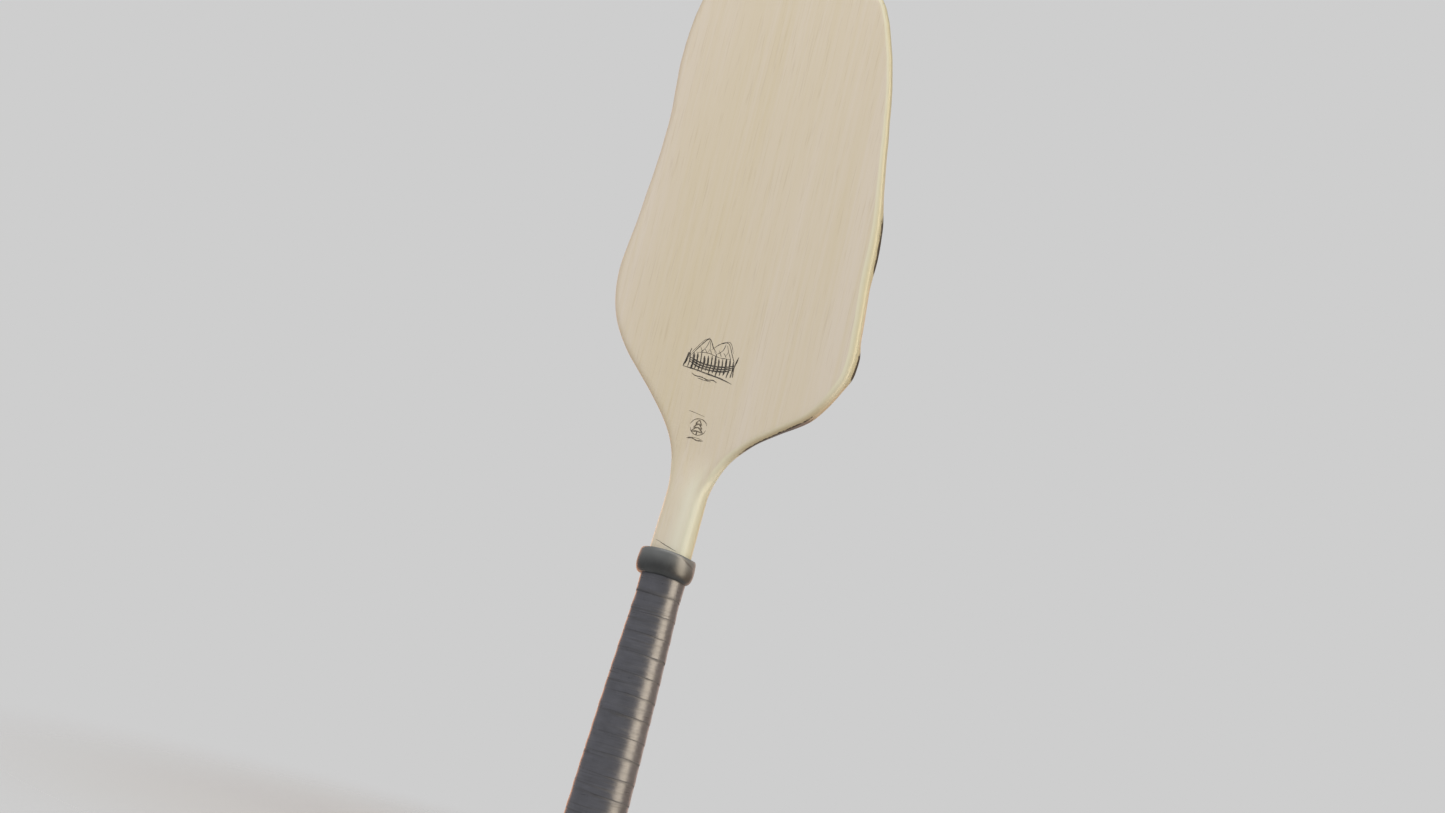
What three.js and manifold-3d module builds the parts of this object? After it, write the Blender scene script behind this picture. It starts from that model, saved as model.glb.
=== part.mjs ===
// A short, one-handed wooden kayak paddle: an asymmetric laminated blade, an oval neck, a taped
// grip that flares towards the butt, and a rubber collar that slides on the neck.
// Millimetres. +Z runs along the shaft to the blade's tip, the blade's front face looks towards
// -Y, and the origin lies on the shaft's axis in the middle of the grip.
import * as THREE from 'three';
import * as BufferGeometryUtils from 'three/addons/utils/BufferGeometryUtils.js';
import Module from 'manifold-3d';

// ---------------------------------------------------------------- driving dimensions
const GAP = 0.3; // glue line or clearance between neighbouring pieces
const OVERSHOOT = 1; // how far a cutting body runs past the body that it cuts

const BUTT_Z = -100; // bottom of the butt cap
const GRIP_TOP_Z = 97.6; // where the taped grip meets the bare neck
const NECK_END_Z = 192; // where the neck's ridge has sunk into the blade

const OVAL = 0.88; // depth of the shaft's oval sections over their width
const REBATE = 3.6; // how far the wood is cut back under the grip's coverings

// Outer half width of the finished grip along the shaft: [z, half width].
const GRIP_PROFILE = [
  [-100, 20.3], [-47, 18.9], [-17, 18.1], [3, 17.8], [23, 17.2], [43, 16.1], [58, 15.4], [78, 14.8],
  [98, 14.0],
];

// The bare neck, from the grip up to where it sinks into the blade: [z, half width, half depth].
const NECK_PROFILE = [
  [GRIP_TOP_Z, 13.6, 12.0], [115, 13.5, 11.9], [132, 13.2, 11.7], [148, 13.0, 11.0], [157, 13.0, 9.6],
  [166, 13.6, 7.8], [178, 16.6, 6.2], [NECK_END_Z, 22, 4.6],
];

// The blade's outline as [x, z], up the right edge, round the tip and down the left edge.
const BLADE_OUTLINE = [
  [10, 146], [13.4, 156], [16.4, 166], [22.8, 180], [40.6, 196.7], [63.3, 214.6], [74.8, 231], [80.6, 247],
  [81, 268], [77.4, 297], [74.8, 336], [66, 384], [55.2, 439], [47.5, 466], [35.3, 492.5], [18, 509],
  [-18, 521], [-52, 516], [-75, 496], [-84.5, 468], [-86.4, 436], [-81.6, 380], [-83.4, 318],
  [-85.2, 281], [-80, 256], [-69, 237], [-48.6, 216], [-28, 194.5], [-18.5, 181], [-12.9, 168],
  [-10.6, 157], [-9, 147],
];
const OUTLINE_STEPS = 78; // straight pieces that the outline is drawn with
const BLADE_THICKNESS = 12.7; // at BLADE_ROOT_Z
const BLADE_ROOT_Z = 180;
const BLADE_TAPER = 0.01525; // thickness lost per millimetre towards the tip
const EDGE_RADIUS = 3.2; // rounding of the blade's edges
const EDGE_SEGMENTS = 3;

const CORE_THICKNESS = 4; // middle layer of the wood
const PLY_LIMIT_Y = 6.6; // outer face of the front and back boards beside the handle blocks
const STRINGER_HALF = 17.2; // half width of the centre board
const STRIP_EDGES = [STRINGER_HALF, 38, 60, 100]; // glue lines between the blade's core strips

const WOOD_BOTTOM_Z = BUTT_Z + 2.9;
const SHAFT_SIDES = 36;

const TAPE_THICKNESS = 1.6;
const TAPE_PITCH = 12.55; // travel along the shaft per turn
const TAPE_LAP = 4; // width of the overlap on the turn below
const TAPE_LAP_RISE = 0.5; // how proud the overlap stands
const TAPE_LAP_SLOPE = 1; // width of the overlap's slope down to the bare turn
const TAPE_STEPS_PER_TURN = 20;
const TAPE_SEAM_Z = 11.4; // a seam's height at the front of the grip
const TAPE_LEVELLING = 0.75; // share of each turn's climb that is moved from the front to the back
const UNDERLAY_THICKNESS = 1.4;
const FINISHING_BAND_Z = 87; // lower edge of the plain band that ends the wrap

const COLLAR_BOTTOM_Z = 98.4;
const COLLAR_TOP_Z = 114.3;
const COLLAR_BORE = 14.1; // half width of the hole
const COLLAR_OUTER = 17.9; // half width of the bead
const COLLAR_LIP = 1; // flat rim beside the hole
const COLLAR_FULLNESS = 0.7; // below 1 the bead is squarer than round
const COLLAR_ARC_STEPS = 10;

const CAP_TOP_Z = -86;
const CAP_HALF_WIDTH = 21.3;
const CAP_WALL_HALF_WIDTH = 17.4; // half width of the cavity that takes the wood
const CAP_FLOOR = 2.6;
const CAP_CORNER = 3.2;
const CAP_CORNER_STEPS = 4;
const CAP_RIM_BEVEL = 1;
const SCREW_Y = 8.2; // each screw's distance from the axis, one in front and one behind
const SCREW_HEAD_RADIUS = 3.1;
const SCREW_HEAD_HEIGHT = 1.8;
const SCREW_SHANK_RADIUS = 1.4;
const SCREW_LENGTH = 16; // without its point
const SCREW_POINT = 1;
const SCREW_SINK = 0.6; // depth of the head's top below the cap's face
const SCREW_SIDES = 16;

// ---------------------------------------------------------------- solids and booleans
const wasm = await Module();
wasm.setup();

function toSolid(geometry) {
  const bare = geometry.clone();
  bare.deleteAttribute('normal');
  bare.deleteAttribute('uv');
  const merged = BufferGeometryUtils.mergeVertices(bare, 1e-4);
  const mesh = new wasm.Mesh({
    numProp: 3,
    vertProperties: new Float32Array(merged.attributes.position.array),
    triVerts: new Uint32Array(merged.index.array),
  });
  return new wasm.Manifold(mesh);
}

function toGeometry(solid) {
  const mesh = solid.getMesh();
  const geometry = new THREE.BufferGeometry();
  geometry.setAttribute('position', new THREE.BufferAttribute(mesh.vertProperties, 3));
  geometry.setIndex(new THREE.BufferAttribute(mesh.triVerts, 1));
  geometry.computeVertexNormals();
  return geometry;
}

// The block of space between two corners, for cutting a solid to it.
function slab(low, high) {
  const size = high.map((value, axis) => value - low[axis]);
  const box = new THREE.BoxGeometry(...size);
  box.translate(...low.map((value, axis) => value + size[axis] / 2));
  return toSolid(box);
}

// ---------------------------------------------------------------- shaft surfaces
function interpolate(profile, z) {
  const next = profile.findIndex(([stationZ]) => stationZ >= z);
  if (next <= 0) {
    return next === 0 ? profile[0][1] : profile[profile.length - 1][1];
  }
  const [lowZ, lowValue] = profile[next - 1];
  const [highZ, highValue] = profile[next];
  return THREE.MathUtils.mapLinear(z, lowZ, highZ, lowValue, highValue);
}

function gripHalfWidth(z) {
  return interpolate(GRIP_PROFILE, z);
}

// A closed body with oval sections, one at each station of [z, half width, half depth].
function ovalLoft(stations) {
  const levels = stations.length - 1;
  const geometry = new THREE.CylinderGeometry(1, 1, levels, SHAFT_SIDES, levels);
  geometry.rotateX(Math.PI / 2);
  geometry.translate(0, 0, levels / 2);
  const position = geometry.attributes.position;
  for (let i = 0; i < position.count; i += 1) {
    const [z, halfWidth, halfDepth] = stations[Math.round(position.getZ(i))];
    position.setXYZ(i, position.getX(i) * halfWidth, position.getY(i) * halfDepth, z);
  }
  return geometry;
}

// The grip's surface between two heights, moved inwards by an inset.
function gripLoft(bottomZ, topZ, inset) {
  const inside = GRIP_PROFILE.map(([z]) => z).filter((z) => z > bottomZ && z < topZ);
  const stations = [bottomZ, ...inside, topZ].map((z) => {
    const halfWidth = gripHalfWidth(z) - inset;
    return [z, halfWidth, gripHalfWidth(z) * OVAL - inset];
  });
  return ovalLoft(stations);
}

// A sleeve round the grip, open at both ends.
function gripSleeve(bottomZ, topZ, outerInset, thickness) {
  const outer = toSolid(gripLoft(bottomZ, topZ, outerInset));
  const bore = toSolid(gripLoft(bottomZ - OVERSHOOT, topZ + OVERSHOOT, outerInset + thickness));
  return toGeometry(outer.subtract(bore));
}

// ---------------------------------------------------------------- wood
// The blade: its outline extruded with rounded edges, then thinned evenly towards the tip.
function bladeSolid() {
  const points = BLADE_OUTLINE.map(([x, z]) => new THREE.Vector3(x, z, 0));
  const curve = new THREE.CatmullRomCurve3(points, false, 'centripetal');
  const outline = curve.getSpacedPoints(OUTLINE_STEPS).map(({ x, y }) => new THREE.Vector2(x, y));
  const geometry = new THREE.ExtrudeGeometry(new THREE.Shape(outline), {
    depth: BLADE_THICKNESS - 2 * EDGE_RADIUS,
    bevelThickness: EDGE_RADIUS,
    bevelSize: EDGE_RADIUS,
    bevelOffset: -EDGE_RADIUS,
    bevelSegments: EDGE_SEGMENTS,
    steps: 1,
  });
  geometry.translate(0, 0, EDGE_RADIUS - BLADE_THICKNESS / 2);
  geometry.rotateX(Math.PI / 2);
  const position = geometry.attributes.position;
  for (let i = 0; i < position.count; i += 1) {
    const thinning = (position.getZ(i) - BLADE_ROOT_Z) * BLADE_TAPER / BLADE_THICKNESS;
    position.setY(i, position.getY(i) * (1 - thinning));
  }
  return toSolid(geometry);
}

// A turned body from a profile of [radius, z], standing beside the shaft's axis.
function turnedPost(profile, y) {
  const points = profile.map(([radius, z]) => new THREE.Vector2(radius, z));
  return new THREE.LatheGeometry(points, SCREW_SIDES).rotateX(Math.PI / 2).translate(0, y, 0);
}

const SCREW_FACE_Z = BUTT_Z + SCREW_SINK;
const SCREW_TIP_Z = SCREW_FACE_Z + SCREW_LENGTH;

function screwGeometry(y) {
  return turnedPost([
    [0, SCREW_FACE_Z],
    [SCREW_HEAD_RADIUS, SCREW_FACE_Z],
    [SCREW_SHANK_RADIUS, SCREW_FACE_Z + SCREW_HEAD_HEIGHT],
    [SCREW_SHANK_RADIUS, SCREW_TIP_Z],
    [0, SCREW_TIP_Z + SCREW_POINT],
  ], y);
}

// The hole for a screw, countersunk and open through the cap's face.
function screwHole(y) {
  const head = SCREW_HEAD_RADIUS + GAP;
  const shank = SCREW_SHANK_RADIUS + GAP;
  return toSolid(turnedPost([
    [0, BUTT_Z - OVERSHOOT],
    [head, BUTT_Z - OVERSHOOT],
    [head, SCREW_FACE_Z],
    [shank, SCREW_FACE_Z + SCREW_HEAD_HEIGHT],
    [shank, SCREW_TIP_Z + GAP],
    [0, SCREW_TIP_Z + SCREW_POINT + GAP],
  ], y));
}

// All the wood as one body, before it is divided into its boards.
function woodSolid() {
  const handle = toSolid(gripLoft(WOOD_BOTTOM_Z, GRIP_TOP_Z + OVERSHOOT, REBATE));
  const neck = toSolid(ovalLoft(NECK_PROFILE));
  return handle.add(neck).add(bladeSolid()).subtract(screwHole(-SCREW_Y)).subtract(screwHole(SCREW_Y));
}

const wood = woodSolid();
const FAR = 700; // beyond the paddle in every direction
const HALF_GAP = GAP / 2;

function board(lowX, highX, lowY, highY) {
  return toGeometry(wood.intersect(slab([lowX, lowY, -FAR], [highX, highY, FAR])));
}

function coreStrip(lowX, highX) {
  const half = CORE_THICKNESS / 2 - HALF_GAP;
  return board(lowX + HALF_GAP, highX - HALF_GAP, -half, half);
}

// ---------------------------------------------------------------- grip, collar and butt
// One strip wound up the grip in a helix, each turn lapping the one below it.
function tapeGeometry() {
  const width = TAPE_PITCH - GAP;
  const section = new THREE.Shape();
  section.moveTo(-TAPE_THICKNESS, 0);
  section.lineTo(TAPE_LAP_RISE, 0);
  section.lineTo(TAPE_LAP_RISE, TAPE_LAP);
  section.lineTo(0, TAPE_LAP + TAPE_LAP_SLOPE);
  section.lineTo(0, width);
  section.lineTo(-TAPE_THICKNESS, width);
  const bottomZ = CAP_TOP_Z + GAP;
  const topZ = FINISHING_BAND_Z - GAP;
  const turns = Math.ceil((topZ - bottomZ) / TAPE_PITCH) + 2;
  const steps = turns * TAPE_STEPS_PER_TURN;
  const seamsBelow = Math.ceil((TAPE_SEAM_Z - bottomZ) / TAPE_PITCH) + 1;
  const startZ = TAPE_SEAM_Z - seamsBelow * TAPE_PITCH;
  const strip = new THREE.ExtrudeGeometry(section, { depth: steps, steps, bevelEnabled: false });
  const position = strip.attributes.position;
  for (let i = 0; i < position.count; i += 1) {
    const wound = position.getZ(i) / TAPE_STEPS_PER_TURN * 2 * Math.PI; // from the front, on -Y
    const angle = -wound - Math.PI / 2;
    const climb = (wound - TAPE_LEVELLING * Math.sin(wound)) / (2 * Math.PI) * TAPE_PITCH;
    const z = startZ + climb + position.getY(i);
    const offset = position.getX(i);
    const halfWidth = gripHalfWidth(z);
    position.setXYZ(
      i,
      Math.cos(angle) * (halfWidth + offset),
      Math.sin(angle) * (halfWidth * OVAL + offset),
      z,
    );
  }
  return toGeometry(toSolid(strip).intersect(slab([-FAR, -FAR, bottomZ], [FAR, FAR, topZ])));
}

// A rounded rubber bead: a flat bore, a soft shoulder above and a fuller curve below.
function collarGeometry() {
  const height = COLLAR_TOP_Z - COLLAR_BOTTOM_Z;
  const reach = COLLAR_OUTER - COLLAR_BORE - COLLAR_LIP;
  const profile = [new THREE.Vector2(COLLAR_BORE, COLLAR_BOTTOM_Z)];
  for (let i = 0; i <= COLLAR_ARC_STEPS; i += 1) {
    const angle = (i / COLLAR_ARC_STEPS - 0.5) * Math.PI;
    const radius = COLLAR_BORE + COLLAR_LIP + reach * Math.cos(angle) ** COLLAR_FULLNESS;
    profile.push(new THREE.Vector2(radius, COLLAR_BOTTOM_Z + height * (0.5 + 0.5 * Math.sin(angle))));
  }
  profile.push(new THREE.Vector2(COLLAR_BORE, COLLAR_TOP_Z), profile[0].clone());
  return new THREE.LatheGeometry(profile, SHAFT_SIDES).rotateX(Math.PI / 2).scale(1, OVAL, 1);
}

// A cup over the end of the handle, with a flat face and a rounded rim.
function buttCapGeometry() {
  const profile = [new THREE.Vector2(0, BUTT_Z)];
  for (let i = 0; i <= CAP_CORNER_STEPS; i += 1) {
    const angle = (i / CAP_CORNER_STEPS - 1) * Math.PI / 2;
    const centre = [CAP_HALF_WIDTH - CAP_CORNER, BUTT_Z + CAP_CORNER];
    const radius = centre[0] + CAP_CORNER * Math.cos(angle);
    profile.push(new THREE.Vector2(radius, centre[1] + CAP_CORNER * Math.sin(angle)));
  }
  profile.push(
    new THREE.Vector2(CAP_HALF_WIDTH, CAP_TOP_Z - CAP_RIM_BEVEL),
    new THREE.Vector2(CAP_HALF_WIDTH - CAP_RIM_BEVEL, CAP_TOP_Z),
    new THREE.Vector2(CAP_WALL_HALF_WIDTH, CAP_TOP_Z),
    new THREE.Vector2(CAP_WALL_HALF_WIDTH, BUTT_Z + CAP_FLOOR),
    new THREE.Vector2(0, BUTT_Z + CAP_FLOOR),
  );
  const cup = new THREE.LatheGeometry(profile, SHAFT_SIDES).rotateX(Math.PI / 2).scale(1, OVAL, 1);
  return toGeometry(toSolid(cup).subtract(screwHole(-SCREW_Y)).subtract(screwHole(SCREW_Y)));
}

// ---------------------------------------------------------------- materials
const paleWood = new THREE.MeshStandardMaterial({ color: 0xd8c7a3, roughness: 0.35, metalness: 0 });
const coreWood = new THREE.MeshStandardMaterial({ color: 0xcfa96f, roughness: 0.4, metalness: 0 });
const backWood = new THREE.MeshStandardMaterial({ color: 0xcdb68c, roughness: 0.4, metalness: 0 });
const gripTape = new THREE.MeshStandardMaterial({ color: 0x4d4d52, roughness: 0.45, metalness: 0 });
const foam = new THREE.MeshStandardMaterial({ color: 0x2c2c2e, roughness: 0.9, metalness: 0 });
const blackRubber = new THREE.MeshStandardMaterial({ color: 0x3b3b3d, roughness: 0.4, metalness: 0 });
const capPlastic = new THREE.MeshStandardMaterial({ color: 0x2a2a2c, roughness: 0.5, metalness: 0 });
const screwSteel = new THREE.MeshStandardMaterial({ color: 0xb4b4b0, roughness: 0.35, metalness: 1 });

// ---------------------------------------------------------------- assembly
const paddle = new THREE.Group();
const collar = new THREE.Group();
paddle.add(collar);

function addPiece(group, name, geometry, material) {
  const mesh = new THREE.Mesh(geometry, material);
  mesh.name = name;
  group.add(mesh);
}

const innerY = CORE_THICKNESS / 2 + HALF_GAP;
const plyY = PLY_LIMIT_Y - HALF_GAP;
const blockY = PLY_LIMIT_Y + HALF_GAP;
addPiece(paddle, 'front_board', board(-FAR, FAR, -plyY, -innerY), paleWood);
addPiece(paddle, 'back_board', board(-FAR, FAR, innerY, plyY), backWood);
addPiece(paddle, 'handle_block_front', board(-FAR, FAR, -FAR, -blockY), paleWood);
addPiece(paddle, 'handle_block_back', board(-FAR, FAR, blockY, FAR), backWood);
addPiece(paddle, 'center_stringer', coreStrip(-STRINGER_HALF, STRINGER_HALF), coreWood);
['inner', 'middle', 'outer'].forEach((place, i) => {
  const [near, far] = [STRIP_EDGES[i], STRIP_EDGES[i + 1]];
  addPiece(paddle, `blade_strip_left_${place}`, coreStrip(-far, -near), coreWood);
  addPiece(paddle, `blade_strip_right_${place}`, coreStrip(near, far), coreWood);
});

const underlayInset = TAPE_THICKNESS + GAP;
addPiece(
  paddle,
  'grip_underlay',
  gripSleeve(CAP_TOP_Z + GAP, GRIP_TOP_Z - GAP, underlayInset, UNDERLAY_THICKNESS),
  foam,
);
addPiece(paddle, 'grip_tape', tapeGeometry(), gripTape);
addPiece(
  paddle,
  'finishing_band',
  gripSleeve(FINISHING_BAND_Z, GRIP_TOP_Z - GAP, 0, TAPE_THICKNESS),
  gripTape,
);
addPiece(paddle, 'butt_cap', buttCapGeometry(), capPlastic);
addPiece(paddle, 'cap_screw_front', screwGeometry(-SCREW_Y), screwSteel);
addPiece(paddle, 'cap_screw_back', screwGeometry(SCREW_Y), screwSteel);
addPiece(collar, 'rubber_collar', collarGeometry(), blackRubber);

export default paddle;
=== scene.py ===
"""The looks of the hand kayak paddle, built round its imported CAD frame. Metres, +Z up the shaft."""

from math import atan2, cos, degrees, exp, pi, radians, sin, tan

import bmesh
import bpy
import numpy as np
from mathutils import Matrix, Vector, geometry, noise


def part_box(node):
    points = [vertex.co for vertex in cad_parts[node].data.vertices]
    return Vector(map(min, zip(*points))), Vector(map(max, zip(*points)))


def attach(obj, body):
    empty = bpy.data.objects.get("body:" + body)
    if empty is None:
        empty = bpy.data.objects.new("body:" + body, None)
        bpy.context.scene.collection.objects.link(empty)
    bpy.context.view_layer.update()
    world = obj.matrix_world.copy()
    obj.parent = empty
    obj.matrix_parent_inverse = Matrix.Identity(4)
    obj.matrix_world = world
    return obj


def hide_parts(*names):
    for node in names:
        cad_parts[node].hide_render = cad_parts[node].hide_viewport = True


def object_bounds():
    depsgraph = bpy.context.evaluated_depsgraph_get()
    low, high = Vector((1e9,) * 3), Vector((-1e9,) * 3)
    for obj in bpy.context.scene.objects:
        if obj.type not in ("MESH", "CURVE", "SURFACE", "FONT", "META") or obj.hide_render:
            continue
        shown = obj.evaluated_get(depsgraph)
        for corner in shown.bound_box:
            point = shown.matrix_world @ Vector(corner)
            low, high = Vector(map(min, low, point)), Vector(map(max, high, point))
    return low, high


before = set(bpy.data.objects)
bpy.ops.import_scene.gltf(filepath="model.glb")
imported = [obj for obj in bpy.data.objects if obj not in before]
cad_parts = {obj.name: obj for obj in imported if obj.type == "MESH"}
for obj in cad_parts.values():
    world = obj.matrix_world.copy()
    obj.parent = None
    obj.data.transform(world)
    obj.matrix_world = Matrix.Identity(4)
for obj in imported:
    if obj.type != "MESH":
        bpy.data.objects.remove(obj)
cad_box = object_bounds()

MM = 0.001
PADDLE, COLLAR = "paddle", "collar"
STRIP_PLACES = ("inner", "middle", "outer")
BLADE_STRIPS = [f"blade_strip_{side}_{place}" for side in ("left", "right") for place in STRIP_PLACES]
OUTER_LAYERS = ["front_board", "back_board", "handle_block_front", "handle_block_back"]
WOOD_NODES = [*OUTER_LAYERS, "center_stringer", *BLADE_STRIPS]


# ---- camera, light and floor
CAMERA_AZIMUTH = 18.0  # degrees to the blade's right of straight in front
CAMERA_ELEVATION = -9.0  # the camera looks up a little
CAMERA_LEAN = 16.0  # degrees that the shaft leans to the right in the picture
CAMERA_DISTANCE = 1.255
CAMERA_LENS = 50.0
CAMERA_TARGET = Vector((0.0062, 0.0, 0.211))
BACKDROP = 0.617  # linear grey that the camera and the matt surfaces see all round
REFLECTED_ROOM = (0.315, 0.305, 0.30)  # what glossy surfaces mirror away from the lights


def direction(azimuth, elevation):
    """The unit vector from the object towards an azimuth (0 is -Y, 90 is +X) and elevation in degrees."""
    a, e = radians(azimuth), radians(elevation)
    return Vector((sin(a) * cos(e), -cos(a) * cos(e), sin(e)))


def add_camera():
    """The photo's camera: a little below the paddle, a little to its right, and leaning."""
    data = bpy.data.cameras.new("camera")
    data.lens = CAMERA_LENS
    camera = bpy.data.objects.new("camera", data)
    bpy.context.scene.collection.objects.link(camera)
    back = direction(CAMERA_AZIMUTH, CAMERA_ELEVATION)
    level_right = Vector((0, 0, 1)).cross(back).normalized()
    level_up = back.cross(level_right)
    lean = radians(CAMERA_LEAN)
    right = level_right * cos(lean) + level_up * sin(lean)
    up = back.cross(right)
    turned = Matrix((right, up, back)).transposed().to_4x4()
    camera.matrix_world = Matrix.Translation(CAMERA_TARGET + back * CAMERA_DISTANCE) @ turned
    bpy.context.scene.camera = camera


def add_light(name, azimuth, elevation, distance, size, brightness, colour, diffuse=True, gloss=True):
    """A soft rectangular light. Its brightness is the radiance of its face, where the backdrop's is 1."""
    data = bpy.data.lights.new(name, "AREA")
    data.shape = "RECTANGLE"
    data.size, data.size_y = size
    data.energy = brightness * BACKDROP * pi * size[0] * size[1]
    data.color = colour
    light = bpy.data.objects.new(name, data)
    back = direction(azimuth, elevation)
    light.location = CAMERA_TARGET + back * distance
    light.rotation_mode = "QUATERNION"
    light.rotation_quaternion = back.to_track_quat("Z", "Y")
    light.visible_diffuse = diffuse
    light.visible_glossy = gloss
    light.visible_camera = False
    bpy.context.scene.collection.objects.link(light)


def add_studio():
    """An even pale room whose lights show either in reflections or on matt surfaces."""
    world = bpy.data.worlds.new("studio")
    bpy.context.scene.world = world
    world.use_nodes = True
    tree = world.node_tree
    path = tree.nodes.new("ShaderNodeLightPath")
    mix = tree.nodes.new("ShaderNodeMix")
    mix.data_type = "RGBA"
    tree.links.new(path.outputs["Is Glossy Ray"], mix.inputs[0])
    mix.inputs[6].default_value = (BACKDROP, BACKDROP, BACKDROP, 1)
    mix.inputs[7].default_value = (*REFLECTED_ROOM, 1)
    tree.links.new(mix.outputs[2], tree.nodes["Background"].inputs["Color"])
    add_light("key_strip", 76, 13, 1.15, (0.8, 1.7), 9.2, (1, 0.87, 0.68), diffuse=False)
    add_light("side_wash", 100, 0, 1.5, (3.2, 2.4), 0.8, (1, 0.55, 0.2), diffuse=False)
    add_light("top_panel", 8, 62, 1.3, (1.4, 1.0), 4.0, (1, 0.98, 0.94), diffuse=False)
    add_light("warm_side", 90, 12, 1.6, (1.2, 1.2), 2.7, (1, 0.94, 0.76), gloss=False)
    add_light("fill_front", -32, 28, 2.2, (1.8, 1.8), 3.12, (1, 0.98, 0.955), gloss=False)
    add_light("rim_right", 168, -4, 1.4, (0.4, 1.6), 2.6, (1, 0.62, 0.44), diffuse=False)
    add_light("rim_left", 217, -4, 1.4, (0.8, 1.6), 3.1, (1, 0.42, 0.18), diffuse=False)


add_camera()
add_studio()
bpy.context.scene.view_settings.view_transform = "Standard"


# ---- meshes and materials
def new_object(name, bm):
    """An object with the mesh of bm, which is used up."""
    mesh = bpy.data.meshes.new(name)
    bm.normal_update()
    bm.to_mesh(mesh)
    bm.free()
    made = bpy.data.objects.new(name, mesh)
    bpy.context.scene.collection.objects.link(made)
    return made


def add_piece(name, bm, material, node=None, body=PADDLE):
    """A piece of the visual model that rides on a body and, if it isn't just a mark, takes a node's place."""
    piece = new_object(name, bm)
    piece.data.materials.append(material)
    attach(piece, body)
    if node:
        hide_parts(node)


def join_rings(bm, rings):
    """A band of faces between each ring of vertices and the next."""
    for a, b in zip(rings, rings[1:]):
        for k in range(len(a)):
            j = (k + 1) % len(a)
            bm.faces.new([a[k], b[k], b[j], a[j]])


def smooth_faces(bm):
    for face in bm.faces:
        face.smooth = True


class Nodes:
    """A short way to write a material's node tree."""

    def __init__(self, name):
        self.material = bpy.data.materials.new(name)
        self.material.use_nodes = True
        self.tree = self.material.node_tree
        self.shader = self.tree.nodes["Principled BSDF"]
        self.coordinates = self.add("TexCoord").outputs["Object"]

    def add(self, kind, inputs=None, **settings):
        node = self.tree.nodes.new("ShaderNode" + kind)
        for key, value in settings.items():
            setattr(node, key, value)
        for key, value in (inputs or {}).items():
            self.put(node.inputs[key], value)
        return node

    def put(self, socket, value):
        if isinstance(value, bpy.types.NodeSocket):
            self.tree.links.new(value, socket)
        elif socket.type == "RGBA":
            socket.default_value = (*value, 1.0)
        else:
            socket.default_value = value

    def set(self, **inputs):
        for key, value in inputs.items():
            self.put(self.shader.inputs[key.replace("_", " ")], value)

    def mapped(self, scale=(1, 1, 1), rotation=(0, 0, 0)):
        inputs = {"Vector": self.coordinates, "Scale": scale, "Rotation": rotation}
        return self.add("Mapping", inputs).outputs["Vector"]

    def noise(self, scale, detail=2.0, roughness=0.5, distortion=0.0):
        """Noise of about scale[i] blotches to a metre along each axis of the object."""
        inputs = {"Vector": self.mapped(scale), "Scale": 1.0, "Detail": detail, "Roughness": roughness}
        inputs["Distortion"] = distortion
        return self.add("TexNoise", inputs).outputs["Fac"]

    def ramp(self, value, stops, interpolation="LINEAR"):
        """A colour ramp whose stops are (place, colour or grey)."""
        node = self.add("ValToRGB", {"Fac": value})
        node.color_ramp.interpolation = interpolation
        elements = node.color_ramp.elements
        while len(elements) < len(stops):
            elements.new(0.5)
        for element, (place, colour) in zip(elements, stops):
            element.position = place
            element.color = (*colour, 1.0) if hasattr(colour, "__len__") else (colour, colour, colour, 1.0)
        return node.outputs["Color"]

    def mix(self, factor, a, b, blend="MIX"):
        inputs = {0: factor, 6: a, 7: b}  # the sockets of a mix of colours
        return self.add("Mix", inputs, data_type="RGBA", blend_type=blend).outputs[2]

    def math(self, operation, a, b):
        return self.add("Math", {0: a, 1: b}, operation=operation).outputs[0]

    def times(self, a, b):
        return self.math("MULTIPLY", a, b)

    def weighted(self, *parts):
        """The sum of values, each times its weight."""
        total = self.times(*parts[0])
        for part in parts[1:]:
            total = self.math("ADD", total, self.times(*part))
        return total

    def attribute(self, name):
        return self.add("Attribute", attribute_name=name).outputs["Fac"]

    def bump(self, height, strength, distance):
        inputs = {"Height": height, "Strength": strength, "Distance": distance}
        return self.add("Bump", inputs).outputs["Normal"]


def srgb(red, green, blue):
    """Linear colour from sRGB values out of 255."""
    shares = (red / 255, green / 255, blue / 255)
    return tuple(c / 12.92 if c <= 0.04045 else ((c + 0.055) / 1.055) ** 2.4 for c in shares)


GRAIN_SLANT = radians(2.5)  # the grain leans a little to the left of the handle's axis


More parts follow.
